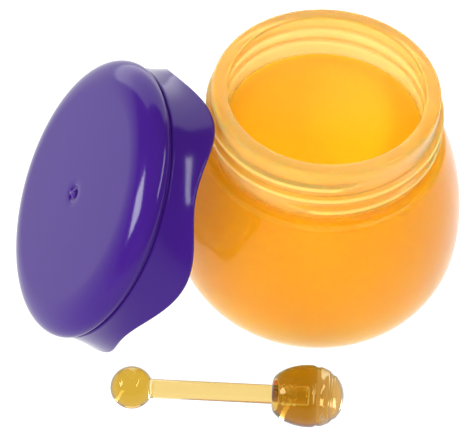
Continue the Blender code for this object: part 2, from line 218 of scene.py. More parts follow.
def dripTree():  # hangs the skirt of a turned lid in waves, by how far down it each ring is marked
    tree, given = newTree("drippingSkirt", ("Drip count", "Swing", "Phase", "Unevenness", "Uneven from",
                                            "Flare"))
    place = addNode(tree, "GeometryNodeInputPosition")
    xyz = addNode(tree, "ShaderNodeSeparateXYZ", None, {0: place}).outputs
    angle = addNode(tree, "ShaderNodeMath", {"operation": "ARCTAN2"}, {0: xyz["Y"], 1: xyz["X"]})
    turn = addNode(tree, "ShaderNodeMath", {"operation": "SUBTRACT"}, {0: angle, 1: given["Phase"]})
    fromThere = addNode(tree, "ShaderNodeMath", {"operation": "ADD"}, {0: turn, 1: given["Uneven from"]})
    sway = addNode(tree, "ShaderNodeMath", {"operation": "SINE"}, {0: fromThere})
    wander = addNode(tree, "ShaderNodeMath", {"operation": "MULTIPLY"}, {0: sway, 1: given["Unevenness"]})
    uneven = addNode(tree, "ShaderNodeMath", {"operation": "SUBTRACT"}, {0: turn, 1: wander})  # uneven drips
    waves = addNode(tree, "ShaderNodeMath", {"operation": "MULTIPLY"}, {0: uneven, 1: given["Drip count"]})
    drip = addNode(tree, "ShaderNodeMath", {"operation": "COSINE"}, {0: waves})
    deeper = addNode(tree, "ShaderNodeMath", {"operation": "MULTIPLY"}, {0: drip, 1: given["Swing"]})
    marked = addNode(tree, "GeometryNodeInputNamedAttribute", {"data_type": "FLOAT"}, {"Name": "skirtShare"})
    down = addNode(tree, "ShaderNodeMath", {"operation": "MULTIPLY"}, {0: deeper, 1: marked})
    out = addNode(tree, "ShaderNodeMath", {"operation": "MULTIPLY"}, {0: down, 1: given["Flare"]})
    flat = addNode(tree, "ShaderNodeCombineXYZ", None, {"X": xyz["X"], "Y": xyz["Y"], "Z": 0.0})
    outward = addNode(tree, "ShaderNodeVectorMath", {"operation": "NORMALIZE"}, {0: flat})
    sideways = addNode(tree, "ShaderNodeVectorMath", {"operation": "SCALE"}, {0: outward, "Scale": out})
    sink = addNode(tree, "ShaderNodeMath", {"operation": "MULTIPLY"}, {0: down, 1: -1.0})  # depth is along -z
    lower = addNode(tree, "ShaderNodeCombineXYZ", None, {"X": 0.0, "Y": 0.0, "Z": sink})
    offset = addNode(tree, "ShaderNodeVectorMath", {"operation": "ADD"}, {0: sideways, 1: lower})
    moved = addNode(tree, "GeometryNodeSetPosition", None, {"Geometry": given["Geometry"], "Offset": offset})
    endTree(tree, moved, given["Material"])
    return tree


# Where the loose pieces lie, read from the frame

def nodePoints(name):  # a CAD node's corners, each once
    mesh = frame["nodes"][name].data
    corners = np.empty(len(mesh.vertices) * 3)
    mesh.vertices.foreach_get("co", corners)
    return np.unique(np.round(corners.reshape(-1, 3), 7), axis=0)


def farthestAlong(name, axis):
    points = nodePoints(name)
    return Vector(points[(points @ np.array(axis)).argmax()])


def placeFrom(axis, origin):  # z along the axis, x up the slope
    side = Vector((0, 0, 1)).cross(axis).normalized()
    upSlope = axis.cross(side).normalized()
    upSlope = -upSlope if upSlope.z < 0 else upSlope
    across = axis.cross(upSlope)
    place = Matrix((upSlope, across, axis)).transposed().to_4x4()
    place.translation = origin
    return place


lidJoint = next(joint for joint in frame["joints"] if joint["child"] == "lid")
lidAxis = Vector(lidJoint["axis"]).normalized()
nubAboveFace = 0.2 * mm  # the solid's moulding nub stands this far over the lid's top face
lidPlace = placeFrom(lidAxis, farthestAlong("lid_shell", lidAxis) - lidAxis * nubAboveFace)

headMiddle = Vector(nodePoints("dipper_head").mean(0))
handleMiddle = Vector(nodePoints("dipper_handle").mean(0))
dipperAxis = (headMiddle - handleMiddle).normalized()
ballPole = farthestAlong("dipper_handle", -dipperAxis)


# Orange pot: polypropylene, injection moulded, so milky inside with a thin gloss where it met the tool

potSizes = {  # heights are from the floor
    "bellyRadius": 34.0 * mm, "bellyHeight": 17.0 * mm, "bellyDrop": 23.9 * mm, "bellyDropPower": 2.6,
    "bellyRise": 50.6 * mm, "bellyRisePower": 1.857, "footRoundHeight": 2.6 * mm, "footRoundReach": 2.2 * mm,
    "wall": 2.6 * mm, "floor": 3.0 * mm, "innerShoulderDrop": 1.6 * mm, "innerShoulderPower": 2.6,
    "shoulderHeight": 43.6 * mm, "shoulderRound": 0.9 * mm, "neckRadius": 25.75 * mm, "rimHeight": 59.2 * mm,
    "boreRadius": 22.3 * mm, "rimOuterRound": 0.9 * mm, "rimInnerRound": 0.6 * mm,
    "ridgeHeight": 1.17 * mm, "pitch": 3.74 * mm, "firstBelowRim": 11.75 * mm, "startDegrees": -113.0,
    "turns": 2.13, "ridgeBase": 2.1 * mm, "ridgeCrest": 0.7 * mm, "fadeDegrees": 22.0,
    "neckPaleFrom": 42.5 * mm, "neckPaleTo": 47.5 * mm, "rimPaleFrom": 55.5 * mm, "rimPaleTo": 58.0 * mm,
    # the shoulder's value on the next line is the strength of a painted highlight on its rounded edge
    "shoulderPaintedHighlight": 0.8, "flowMarks": 11.1 * mm, "segments": 240,
    "baseRows": 10, "lowerRows": 22, "upperRows": 44, "neckRows": 96, "boreRows": 14, "hollowRows": 36,
    "floorRows": 8,
}


def potMaterial():
    size = potSizes
    material, tree = newMaterial("milkyOrangePolypropylene")
    place = addNode(tree, "ShaderNodeTexCoord").outputs["Object"]
    height = addNode(tree, "ShaderNodeSeparateXYZ", None, {0: place}).outputs["Z"]
    flow = addNode(tree, "ShaderNodeTexNoise", None, {
        "Vector": place, "Scale": 1 / size["flowMarks"], "Detail": 3.0})
    belly = addNode(tree, "ShaderNodeMix", {"data_type": "RGBA"}, {
        0: flow, 6: hexColour("#FFD66C"), 7: hexColour("#FFDA76")})
    neck = addNode(tree, "ShaderNodeMix", {"data_type": "RGBA"}, {
        0: flow, 6: hexColour("#FFDA80"), 7: hexColour("#FFDF8A")})
    upper = addNode(tree, "ShaderNodeMapRange", {"interpolation_type": "SMOOTHSTEP"}, {
        "Value": height, "From Min": size["neckPaleFrom"], "From Max": size["neckPaleTo"]})
    wall = addNode(tree, "ShaderNodeMix", {"data_type": "RGBA"}, {  # the thicker neck is paler and milkier
        0: upper, 6: belly.outputs[2], 7: neck.outputs[2]})
    rim = addNode(tree, "ShaderNodeMapRange", {"interpolation_type": "SMOOTHSTEP"}, {
        "Value": height, "From Min": size["rimPaleFrom"], "From Max": size["rimPaleTo"]})
    edge = addNode(tree, "ShaderNodeMix", {"data_type": "RGBA"}, {
        0: rim, 6: wall.outputs[2], 7: hexColour("#FCC96A")})
    ridge = addNode(tree, "ShaderNodeAttribute", {"attribute_name": "ridgeShare"}).outputs["Fac"]
    corner = addNode(tree, "ShaderNodeAttribute", {"attribute_name": "paintedEdgeHighlight"}).outputs["Fac"]
    # the thread's crests and the shoulder's rounded edge: milkier there, and painted with a highlight
    thick = addNode(tree, "ShaderNodeMath", {"operation": "MAXIMUM"}, {0: ridge, 1: corner})
    crestHighlight = addNode(tree, "ShaderNodeMapRange", {"interpolation_type": "SMOOTHSTEP"}, {
        "Value": thick, "From Min": 0.7, "From Max": 0.98})
    colour = addNode(tree, "ShaderNodeMix", {"data_type": "RGBA"}, {  # painted highlight: the thread's crests and the shoulder's rounded edge are painted lighter, standing in for the light they catch
        0: crestHighlight, 6: edge.outputs[2], 7: hexColour("#FFDA84")})
    clearWall = addNode(tree, "ShaderNodeMapRange", None, {"Value": upper, "To Min": 0.98, "To Max": 0.78})
    clearCrest = addNode(tree, "ShaderNodeMath", {"operation": "MULTIPLY_ADD"}, {
        0: crestHighlight, 1: -0.22, 2: clearWall})
    clear = addNode(tree, "ShaderNodeMath", {"operation": "MULTIPLY_ADD"}, {0: rim, 1: -0.12, 2: clearCrest})
    haze = addNode(tree, "ShaderNodeMapRange", None, {"Value": flow, "To Min": 0.2, "To Max": 0.27})
    ripple = addNode(tree, "ShaderNodeBump", None, {"Height": flow, "Strength": 0.03, "Distance": 0.4 * mm})
    shader = addNode(tree, "ShaderNodeBsdfPrincipled", None, {
        "Base Color": colour.outputs[2], "Roughness": haze, "Normal": ripple, "IOR": 1.4,
        "Transmission Weight": clear, "Specular IOR Level": 0.1, "Specular Tint": hexColour("#5F4A24"),
        "Subsurface Weight": 1.0, "Subsurface Scale": 1.0,
        "Subsurface Radius": (4.0 * mm, 2.2 * mm, 0.9 * mm),
        "Coat Weight": 0.32, "Coat Roughness": 0.05, "Coat IOR": 1.45})
    addNode(tree, "ShaderNodeOutputMaterial", None, {"Surface": shader})
    return material


def bellyRadiusAt(height):
    size = potSizes
    above = height - size["bellyHeight"]
    if above < 0:
        return size["bellyRadius"] * powerRound(-above / size["bellyDrop"], size["bellyDropPower"])
    return size["bellyRadius"] * powerRound(above / size["bellyRise"], size["bellyRisePower"])


def bellySlopeAt(height):
    step = 0.01 * mm  # small beside any size here
    return (bellyRadiusAt(height + step) - bellyRadiusAt(height)) / step


def hollowProfile(inset):  # the hollow's wall from the neck down to the axis
    size, steps = potSizes, potSizes["hollowRows"]
    middle = size["bellyHeight"]
    widest = size["bellyRadius"] - size["wall"]
    blend = size["shoulderHeight"] - size["innerShoulderDrop"]
    share = powerRound(size["boreRadius"] / widest, size["innerShoulderPower"])
    rise = (blend - middle) / share
    drop = size["bellyDrop"] - size["wall"]
    lowest = size["floor"] + inset
    points = []
    for k in range(steps):
        height = blend - (blend - middle) * (1 - math.cos(math.pi / 2 * k / steps))
        radius = widest * powerRound((height - middle) / rise, size["innerShoulderPower"])
        points.append((radius - inset, height))
    for k in range(steps):
        height = middle - (middle - lowest) * math.sin(math.pi / 2 * k / steps)
        radius = widest * powerRound((middle - height) / drop, size["bellyDropPower"])
        points.append((radius - inset, height))
    foot, footHeight = points[-1]
    flat = foot - size["footRoundReach"]
    points += softCorner((foot, footHeight), (foot, lowest), (flat, lowest), steps=6)[1:]
    points += [(radius, lowest) for radius in np.linspace(flat, 0.0, size["floorRows"])[1:]]
    return points


def makePot(material):
    size = potSizes
    middle, footTop = size["bellyHeight"], size["footRoundHeight"]
    footStart = bellyRadiusAt(footTop)
    footCorner = footStart - bellySlopeAt(footTop) * footTop
    flat = footCorner - size["footRoundReach"]
    profile = [(radius, 0.0) for radius in np.linspace(0.0, flat, size["baseRows"])]
    profile += softCorner((flat, 0.0), (footCorner, 0.0), (footStart, footTop), steps=10)[1:]
    top = size["shoulderHeight"] - size["shoulderRound"]
    lower = np.linspace(footTop, middle, size["lowerRows"])[1:]
    upper = np.linspace(middle, top, size["upperRows"])[1:]
    profile += [(bellyRadiusAt(height), height) for height in (*lower, *upper)]
    edge = bellyRadiusAt(top)
    corner = edge + bellySlopeAt(top) * size["shoulderRound"]
    shoulder = size["shoulderHeight"]
    cornerStart = len(profile)
    profile += softCorner((edge, top), (corner, shoulder),
                          (corner - size["shoulderRound"], shoulder), steps=6)[1:]
    cornerEnd = len(profile)
    neck, neckBottom = size["neckRadius"], shoulder + size["shoulderRound"]
    profile += softCorner((neck + size["shoulderRound"], shoulder), (neck, shoulder),
                          (neck, neckBottom), steps=6)
    wallStart = len(profile)
    wallTop = size["rimHeight"] - size["rimOuterRound"]
    profile += [(neck, height) for height in np.linspace(neckBottom, wallTop, size["neckRows"])[1:-1]]
    wallEnd = len(profile)
    bore, boreTop = size["boreRadius"], size["rimHeight"] - size["rimInnerRound"]
    profile += arcPoints(neck - size["rimOuterRound"], wallTop, size["rimOuterRound"], 0, 90, steps=10)
    profile += arcPoints(bore + size["rimInnerRound"], boreTop, size["rimInnerRound"], 90, 180, steps=8)
    blend = shoulder - size["innerShoulderDrop"]
    profile += [(bore, height) for height in np.linspace(boreTop, blend, size["boreRows"])[1:-1]]
    profile += hollowProfile(0.0)
    rows = range(len(profile))
    marks = {
        "threadWall": [1.0 if wallStart <= k < wallEnd else 0.0 for k in rows],
        # the shoulder's rounded edge is marked for a painted highlight
        "paintedEdgeHighlight": [size["shoulderPaintedHighlight"] if cornerStart <= k < cornerEnd else 0.0 for k in rows]}
    pot = turnProfile("potBody", profile, size["segments"], marks)
    applyTree(pot, threads, {
        "Ridge height": size["ridgeHeight"], "Pitch": size["pitch"],
        "First height": size["rimHeight"] - size["firstBelowRim"],
        "Start angle": math.radians(size["startDegrees"]), "Turns": size["turns"],
        "Base width": size["ridgeBase"], "Crest width": size["ridgeCrest"],
        "Fade angle": math.radians(size["fadeDegrees"]), "Material": material})
    shadeSmooth(pot, angle=50)
    finishPiece(pot, "jar", "jar_body")


# Orange gel: poured warm and set, so its skin is smooth with a dull sheen and light spreads inside it

gelSizes = {  # heights are from the floor
    "level": 47.5 * mm, "climb": 0.35 * mm, "climbPower": 14, "gap": -0.05 * mm,  # it wets the wall
    "skinFrom": 46.7 * mm, "skinTo": 47.3 * mm, "paintedBacklightFrom": -8.0 * mm, "paintedBacklightTo": 21.0 * mm,
    "paintedUplightFrom": 18.0 * mm, "paintedUplightTo": 3.0 * mm, "clouds": 26.3 * mm, "surfaceRows": 40, "neckRows": 10,
}


def gelMaterial():
    size = gelSizes
    material, tree = newMaterial("pouredOrangeGel")
    place = addNode(tree, "ShaderNodeTexCoord").outputs["Object"]
    xyz = addNode(tree, "ShaderNodeSeparateXYZ", None, {0: place}).outputs
    cloud = addNode(tree, "ShaderNodeTexNoise", None, {
        "Vector": place, "Scale": 1 / size["clouds"], "Detail": 2.0})
    depth = addNode(tree, "ShaderNodeMapRange", {"interpolation_type": "SMOOTHSTEP"}, {
        "Value": xyz["Z"], "From Min": size["skinFrom"], "From Max": size["skinTo"]})
    paintedBacklight = addNode(tree, "ShaderNodeMapRange", {"interpolation_type": "SMOOTHSTEP"}, {
        "Value": xyz["Y"], "From Min": size["paintedBacklightFrom"], "From Max": size["paintedBacklightTo"]})
    foot = addNode(tree, "ShaderNodeMapRange", {"interpolation_type": "SMOOTHSTEP"}, {
        "Value": xyz["Z"], "From Min": size["paintedUplightFrom"], "From Max": size["paintedUplightTo"]})
    skin = addNode(tree, "ShaderNodeMix", {"data_type": "RGBA"}, {
        0: cloud, 6: hexColour("#F8A601"), 7: hexColour("#FAAC01")})
    surface = addNode(tree, "ShaderNodeMix", {"data_type": "RGBA"}, {  # painted light: the skin is painted paler towards the far side, standing in for the backdrop's light
        0: paintedBacklight, 6: skin.outputs[2], 7: hexColour("#FAAE3A")})
    wall = addNode(tree, "ShaderNodeMix", {"data_type": "RGBA"}, {  # painted light: the sides are painted paler than the top, standing in for the stronger light from the front
        0: cloud, 6: hexColour("#FFC208"), 7: hexColour("#FFC810")})
    side = addNode(tree, "ShaderNodeMix", {"data_type": "RGBA"}, {  # painted light: paler towards the foot, standing in for light coming up from the floor
        0: foot, 6: wall.outputs[2], 7: hexColour("#FFE070")})
    colour = addNode(tree, "ShaderNodeMix", {"data_type": "RGBA"}, {
        0: depth, 6: side.outputs[2], 7: surface.outputs[2]})
    swell = addNode(tree, "ShaderNodeBump", None, {"Height": cloud, "Strength": 0.06, "Distance": 0.6 * mm})
    shader = addNode(tree, "ShaderNodeBsdfPrincipled", None, {
        "Base Color": colour.outputs[2], "Roughness": 0.42, "Normal": swell, "IOR": 1.38,
        "Specular IOR Level": 0.12, "Subsurface Weight": 0.6, "Subsurface Scale": 1.0,
        "Subsurface Radius": (12.0 * mm, 7.0 * mm, 1.2 * mm)})
    addNode(tree, "ShaderNodeOutputMaterial", None, {"Surface": shader})
    return material


def makeGel(material):
    size, pot = gelSizes, potSizes
    bore = pot["boreRadius"] - size["gap"]
    level, climb = size["level"], size["climb"]  # the meniscus climbs the wall a little
    blend = pot["shoulderHeight"] - pot["innerShoulderDrop"]
    profile = [(bore * t, level - climb + climb * t ** size["climbPower"])
               for t in np.linspace(0.0, 1.0, size["surfaceRows"])]
    profile += [(bore, height) for height in np.linspace(level, blend, size["neckRows"])[1:-1]]
    profile += hollowProfile(size["gap"])
    gel = turnProfile("gelPack", profile, pot["segments"])
    gel.data.materials.append(material)
    shadeSmooth(gel, angle=50)
    finishPiece(gel, "jar", "gel_fill")


# Lid shell: violet polypropylene, injection moulded in a polished tool, so glossy with faint flow marks

lidSizes = {  # depths are from the top face down
    "radius": 32.4 * mm, "topRound": 4.9 * mm, "topReach": 8.0 * mm, "wall": 1.4 * mm, "topWall": 1.5 * mm,
    "grooveDepth": 5.9 * mm, "grooveWidth": 0.9 * mm, "grooveCut": 0.6 * mm, "coveLoss": 0.5 * mm,
    "grooveTopRound": 0.1 * mm, "grooveFootRound": 0.2 * mm, "lipRise": 0.1 * mm, "lipDrop": 0.3 * mm,
    "dripCount": 6.0, "meanDepth": 15.35 * mm, "swing": 2.0 * mm, "phaseDegrees": -7.3,
    "unevenDegrees": 6.2, "unevenFromDegrees": 43.3, "flare": 0.17,
    "pitRadius": 2.1 * mm, "pitFloor": 1.6 * mm, "pitDepth": 0.4 * mm, "pitEdge": 0.2 * mm,
    "pitEdgeShare": 0.2, "nubRadius": 1.1 * mm, "nubHeight": 0.7 * mm, "segments": 300,
    "nubRows": 6, "faceRows": 14, "roundRows": 30, "skirtRows": 34, "innerRows": 16, "ceilingRows": 10,
    "flowMarks": 16.7 * mm, "toolGrain": 1.1 * mm,  # the real grain is finer and wouldn't show
}


def lidMaterial():
    size = lidSizes
    material, tree = newMaterial("glossVioletPolypropylene")
    place = addNode(tree, "ShaderNodeTexCoord").outputs["Object"]
    flow = addNode(tree, "ShaderNodeTexNoise", None, {
        "Vector": place, "Scale": 1 / size["flowMarks"], "Detail": 4.0})
    grain = addNode(tree, "ShaderNodeTexNoise", None, {
        "Vector": place, "Scale": 1 / size["toolGrain"], "Detail": 2.0})
    colour = addNode(tree, "ShaderNodeValToRGB", None, {"Fac": flow})
    colour.color_ramp.elements[0].color = hexColour("#2F1065")
    colour.color_ramp.elements[1].color = hexColour("#35136D")
    gloss = addNode(tree, "ShaderNodeMapRange", None, {"Value": grain, "To Min": 0.1, "To Max": 0.16})
    skin = addNode(tree, "ShaderNodeBump", None, {"Height": grain, "Strength": 0.04, "Distance": 0.1 * mm})
    shader = addNode(tree, "ShaderNodeBsdfPrincipled", None, {
        "Base Color": colour, "Roughness": gloss, "Normal": skin, "IOR": 1.49, "Specular IOR Level": 0.21})
    addNode(tree, "ShaderNodeOutputMaterial", None, {"Surface": shader})
    return material


def skirtRadiusAt(depth):  # the skirt leaves the groove straight and flares in a hollow curve
    size = lidSizes
    start, end = size["grooveDepth"] + size["grooveWidth"], size["meanDepth"] - size["wall"] / 2
    share = max(0.0, (depth - start) / (end - start))
    return size["radius"] - size["coveLoss"] + size["flare"] * (end - start) * share ** 2


def makeLidShell(material):
    size = lidSizes
    radius, wall, soft = size["radius"], size["wall"], size["pitEdge"]
    pit, deep = size["pitRadius"], size["pitDepth"]
    profile = [(0.0, size["nubHeight"] - deep)]
    for k in range(1, size["nubRows"] + 1):
        dome = math.pi / 2 * k / size["nubRows"]
        profile.append((size["nubRadius"] * math.sin(dome), size["nubHeight"] * math.cos(dome) - deep))
    profile += softCorner((size["pitFloor"], -deep), (pit - soft, -deep * size["pitEdgeShare"]),
                          (pit + soft, 0.0), steps=6)
    face = np.linspace(pit + soft, radius - size["topReach"], size["faceRows"])[1:-1]
    profile += [(r, 0.0) for r in face]
    stretch = size["topReach"] / size["topRound"]  # the edge is rounder across than down
    rounding = arcPoints(0.0, -size["topRound"], size["topRound"], 90, 0, size["roundRows"])
    profile += [(radius - size["topReach"] + r * stretch, h) for r, h in rounding]
    grooveTop, grooveBottom = size["grooveDepth"], size["grooveDepth"] + size["grooveWidth"]
    skirtStart = radius - size["coveLoss"]
    floor = skirtStart - size["grooveCut"]
    profile += softCorner((radius, -size["topRound"]), (radius, -grooveTop),
                          (floor, -grooveTop - size["grooveTopRound"]), steps=8)[1:]
    grooveFoot = (floor, -grooveBottom + size["grooveFootRound"])
    skirtTop = grooveBottom + size["lipDrop"]
    profile += softCorner(grooveFoot, (skirtStart, -grooveBottom + size["lipRise"]),
                          (skirtStart, -skirtTop), steps=6)
    lip = wall / 2
    end = size["meanDepth"] - lip
    outside = np.linspace(skirtTop, end, size["skirtRows"])[1:]
    inside = np.linspace(end, grooveBottom, size["innerRows"])[1:]
    lipPoints = arcPoints(skirtRadiusAt(end) - lip, -end, lip, 0, -180, steps=14)[1:]
    shares = [0.0] * len(profile)
    shares += [(depth - grooveBottom) / (end - grooveBottom) for depth in outside]
    shares += [1.0] * len(lipPoints)
    shares += [(depth - grooveBottom) / (end - grooveBottom) for depth in inside]
    profile += [(skirtRadiusAt(depth), -depth) for depth in outside]
    profile += lipPoints
    profile += [(skirtRadiusAt(depth) - wall, -depth) for depth in inside]
    inner = skirtStart - wall
    corner = size["topRound"] - size["topWall"]
    reach = size["topReach"] - wall
    bend = arcPoints(0.0, -size["topWall"] - corner, corner, 0, 90, steps=12)
    ceiling = [(inner - reach + r * reach / corner, h) for r, h in bend]
    ceiling += [(r, -size["topWall"]) for r in np.linspace(inner - reach, 0.0, size["ceilingRows"])[1:]]
    profile += ceiling
    shares += [0.0] * len(ceiling)
    shell = turnProfile("lidShell", profile, size["segments"], {"skirtShare": shares})
    applyTree(shell, drips, {
        "Drip count": size["dripCount"], "Swing": size["swing"], "Phase": math.radians(size["phaseDegrees"]),
        "Unevenness": math.radians(size["unevenDegrees"]),
        "Uneven from": math.radians(size["unevenFromDegrees"]), "Flare": size["flare"], "Material": material})
    shadeSmooth(shell, angle=40)
    finishPiece(shell, "lid", "lid_shell", lidPlace)


# Inner cap: white polypropylene, injection moulded and left as it is, so semi-gloss

capSizes = {  # depths are from the lid's top face down
    "topDepth": 1.8 * mm, "topWall": 1.2 * mm, "wall": 1.3 * mm, "endDepth": 12.6 * mm, "flange": 1.2 * mm,
    "topRound": 4.4 * mm, "edgeRound": 0.4 * mm, "flangeRound": 0.3 * mm, "flangeChamfer": 0.2 * mm,
    "threadGap": 0.4 * mm, "turns": 1.25, "seatGap": 0.3 * mm,
    "flowMarks": 8.3 * mm, "segments": 180, "topRows": 8, "wallRows": 52, "wallTopGap": 0.2 * mm,
    "ceilingRows": 10,
}


def capBore():  # it clears the crests of the neck's thread
    return potSizes["neckRadius"] + potSizes["ridgeHeight"] + capSizes["threadGap"]


def innerCapMaterial():
    material, tree = newMaterial("whitePolypropylene")
    place = addNode(tree, "ShaderNodeTexCoord").outputs["Object"]
    flow = addNode(tree, "ShaderNodeTexNoise", None, {
        "Vector": place, "Scale": 1 / capSizes["flowMarks"], "Detail": 3.0})
    colour = addNode(tree, "ShaderNodeValToRGB", None, {"Fac": flow})
    colour.color_ramp.elements[0].color = hexColour("#E9E7E1")
    colour.color_ramp.elements[1].color = hexColour("#F3F1EC")
    gloss = addNode(tree, "ShaderNodeMapRange", None, {"Value": flow, "To Min": 0.3, "To Max": 0.42})
    shader = addNode(tree, "ShaderNodeBsdfPrincipled", None, {
        "Base Color": colour, "Roughness": gloss, "IOR": 1.49})
    addNode(tree, "ShaderNodeOutputMaterial", None, {"Surface": shader})
    return material


def makeInnerCap(material):
    size, pot = capSizes, potSizes
    bore, top, end, edge = capBore(), size["topDepth"], size["endDepth"], size["edgeRound"]
    outer = bore + size["wall"]
    flangeTop = end - size["flange"]
    flangeRadius = skirtRadiusAt(flangeTop) - lidSizes["wall"] - size["seatGap"]
    fillet, chamfer = size["flangeRound"], size["flangeChamfer"]
    flat = outer - size["topRound"]
    profile = [(r, -top) for r in np.linspace(0.0, flat, size["topRows"])]
    profile += arcPoints(flat, -top - size["topRound"], size["topRound"], 90, 0, steps=10)[1:]
    profile += softCorner((outer, -flangeTop + fillet), (outer, -flangeTop),
                          (outer + fillet, -flangeTop), steps=4)
    profile += [(flangeRadius, -flangeTop), (flangeRadius, -end + chamfer), (flangeRadius - chamfer, -end)]
    profile += softCorner((bore + edge, -end), (bore, -end), (bore, -end + edge), steps=5)
    innerTop = top + size["topWall"]
    wallStart = len(profile)
    depths = np.linspace(end - edge, innerTop + size["wallTopGap"], size["wallRows"])[1:-1]
    profile += [(bore, -depth) for depth in depths]
    wallEnd = len(profile)
    profile += [(r, -innerTop) for r in np.linspace(bore, 0.0, size["ceilingRows"])]
    marks = [1.0 if wallStart <= k < wallEnd else 0.0 for k in range(len(profile))]
    cap = turnProfile("innerCap", profile, size["segments"], {"threadWall": marks})
    rimSeat = linerSizes["top"] + linerSizes["thickness"]
    startDepth = rimSeat + pot["firstBelowRim"] - pot["pitch"] / 2
    while startDepth + pot["ridgeBase"] / 2 > end - edge:  # the ridge starts inside the cap's mouth
        startDepth -= pot["pitch"]
    applyTree(cap, threads, {
        "Ridge height": -pot["ridgeHeight"], "Pitch": pot["pitch"], "First height": -startDepth,
        "Start angle": math.radians(pot["startDegrees"]), "Turns": size["turns"],
        "Base width": pot["ridgeBase"], "Crest width": pot["ridgeCrest"],
        "Fade angle": math.radians(pot["fadeDegrees"]), "Material": material})
    shadeSmooth(cap, angle=45)
    finishPiece(cap, "lid", "lid_insert", lidPlace)


# Liner: foamed polyethylene sheet, punched out, so matt and white with fine cells

linerSizes = {
    "top": 3.3 * mm, "thickness": 1.0 * mm, "gap": 0.3 * mm, "edge": 0.2 * mm, "cells": 0.4 * mm,
    "printDepth": 0.06 * mm, "printInset": 1.9 * mm, "printWidth": 1.3 * mm, "topRows": 12, "underRows": 28,
}


def linerMaterial():
    material, tree = newMaterial("foamedPolyethylene")
    place = addNode(tree, "ShaderNodeTexCoord").outputs["Object"]
    cells = addNode(tree, "ShaderNodeTexVoronoi", None, {"Vector": place, "Scale": 1 / linerSizes["cells"]})
    colour = addNode(tree, "ShaderNodeValToRGB", None, {"Fac": cells})
    colour.color_ramp.elements[0].color = hexColour("#E4E4E1")
    colour.color_ramp.elements[1].color = hexColour("#F4F4F2")
    pores = addNode(tree, "ShaderNodeBump", None, {"Height": cells, "Strength": 0.3, "Distance": 0.1 * mm})
    shader = addNode(tree, "ShaderNodeBsdfPrincipled", None, {
        "Base Color": colour, "Roughness": 0.75, "Normal": pores, "IOR": 1.5})
    addNode(tree, "ShaderNodeOutputMaterial", None, {"Surface": shader})
    return material


def makeLiner(material):
    size = linerSizes
    edge = size["edge"]
    flat = capBore() - size["gap"] - edge
    top, bottom = -size["top"], -size["top"] - size["thickness"]
    rim = potSizes["neckRadius"] - size["printInset"]
    profile = [(r, top) for r in np.linspace(0.0, flat, size["topRows"])]
    profile += arcPoints(flat, top - edge, edge, 90, 0, steps=5)[1:]
    profile += arcPoints(flat, bottom + edge, edge, 0, -90, steps=5)
    for r in np.linspace(flat, 0.0, size["underRows"])[1:]:
        dent = size["printDepth"] * math.exp(-((r - rim) / size["printWidth"]) ** 2)  # the rim's print
        profile.append((r, bottom + dent))
    liner = turnProfile("foamLiner", profile, capSizes["segments"])
    liner.data.materials.append(material)
    shadeSmooth(liner, angle=45)
    finishPiece(liner, "lid", "lid_liner", lidPlace)


# Dipper: clear amber acrylic, cast and flame polished, so glassy and deeper in colour where it is thick

headSizes = {  # distances are from the head's mouth towards its nose
    "length": 16.3 * mm, "radius": 7.12 * mm, "widest": 8.1 * mm, "mouthRadius": 3.1 * mm, "mouthPower": 1.8,
    "nosePower": 2.2, "ringCount": 2, "firstRing": 2.1 * mm, "ringSpacing": 3.6 * mm, "ringDepth": 0.26 * mm,
    "ringHalf": 0.9 * mm, "socketGap": 0.5 * mm, "socketMouth": 2.2 * mm, "edge": 0.15 * mm,
    "tenonGap": -0.03 * mm, "shoulderGap": 0.3 * mm, "joinMargin": 0.01 * mm, "rows": 110,
    "socketRows": 8, "noseFade": 0.92, "noseFadePower": 1.5,
    "thinColour": "#F6D080", "thickColour": "#A66C0A",
}

handleSizes = {
    "ballRadius": 4.9 * mm, "stemRadius": 2.2 * mm, "stemLength": 27.9 * mm, "stemFillet": 1.1 * mm,
    "filletDegrees": 7.0, "filletRise": 0.1 * mm, "tenonRadius": 1.45 * mm, "tenonLength": 6.2 * mm,
    "ribCount": 3, "firstRib": 1.7 * mm, "ribSpacing": 1.05 * mm, "ribHeight": 0.22 * mm,
    "ribHalf": 0.34 * mm, "edge": 0.15 * mm, "chamfer": 0.4 * mm,
    "segments": 96, "ballRows": 40, "stemRows": 24, "tenonRows": 60,
    "thinColour": "#E6C87C", "thickColour": "#CCA438",
}

polishRipples = 6.25 * mm  # the flame leaves the surface very slightly wavy


